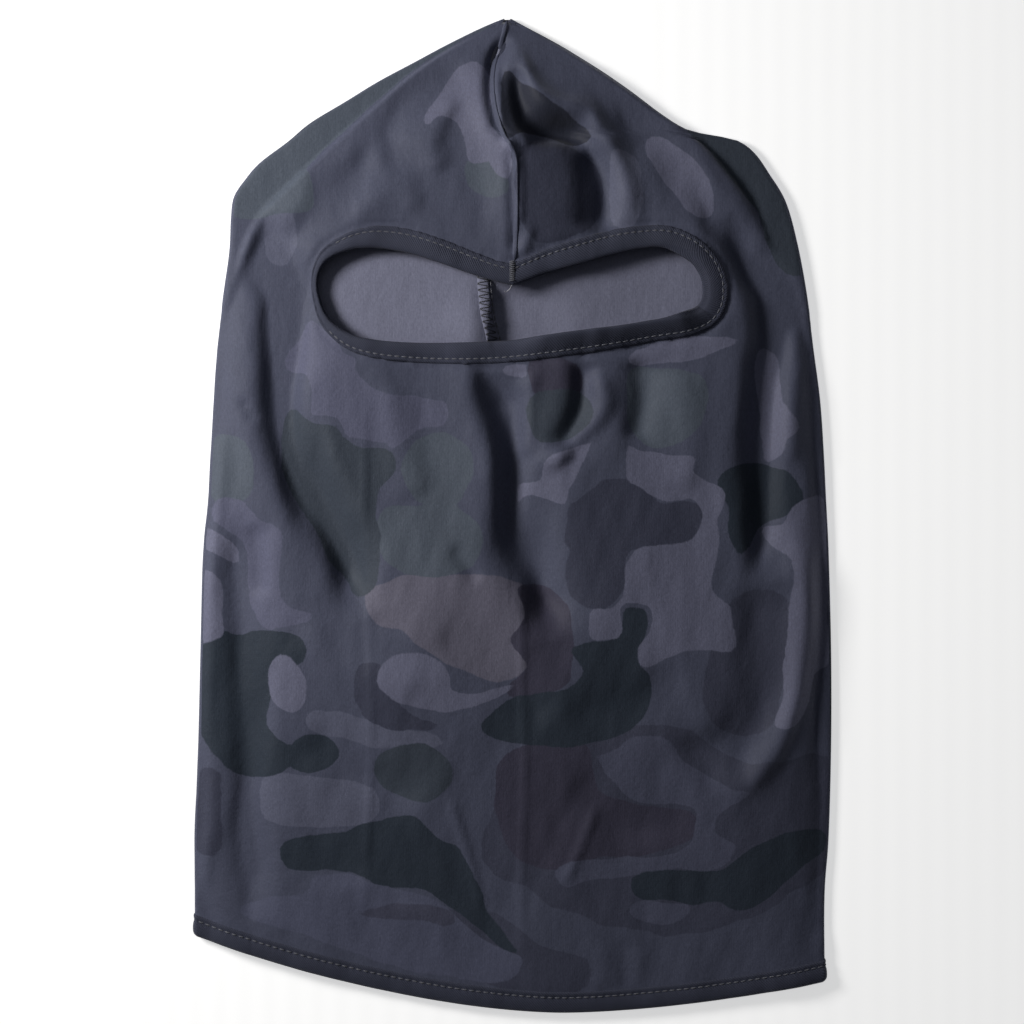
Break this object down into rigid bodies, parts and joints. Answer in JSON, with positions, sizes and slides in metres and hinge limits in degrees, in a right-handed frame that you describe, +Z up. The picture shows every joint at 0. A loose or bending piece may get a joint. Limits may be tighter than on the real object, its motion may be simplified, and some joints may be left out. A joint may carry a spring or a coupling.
{
  "type": "balaclava",
  "caption": "Stretch-knit face hood lying flat, with a wide taped eye opening, a curved taped neck edge and an overlocked crown and centre-back seam.",
  "frame": {"origin": "on the table, under the middle of the hood as it lies flat", "axes": "+X to the right of the hood seen from above with the crown away from the viewer, +Y from the neck to the crown, +Z up off the table, out of the eye opening"},
  "size_m": [0.2574, 0.4, 0.0148],
  "materials": {
    "knit": "fine stretch knit with a slight sheen, dark tone-on-tone camouflage print outside, plain grey inside",
    "binding_tape": "black ribbed tape, folded",
    "thread": "dark spun sewing thread"
  },
  "bodies": {
    "root": {"hood_shell": "knit", "eye_binding": "binding_tape", "hem_binding": "binding_tape", "eye_needle_thread": "thread", "eye_looper_thread": "thread", "hem_needle_thread": "thread", "hem_looper_thread": "thread", "seam_needle_thread": "thread", "seam_upper_looper_thread": "thread", "seam_lower_looper_thread": "thread", "brow_bartack": "thread", "brow_thread_tail": "thread"}
  },
  "joints": []
}
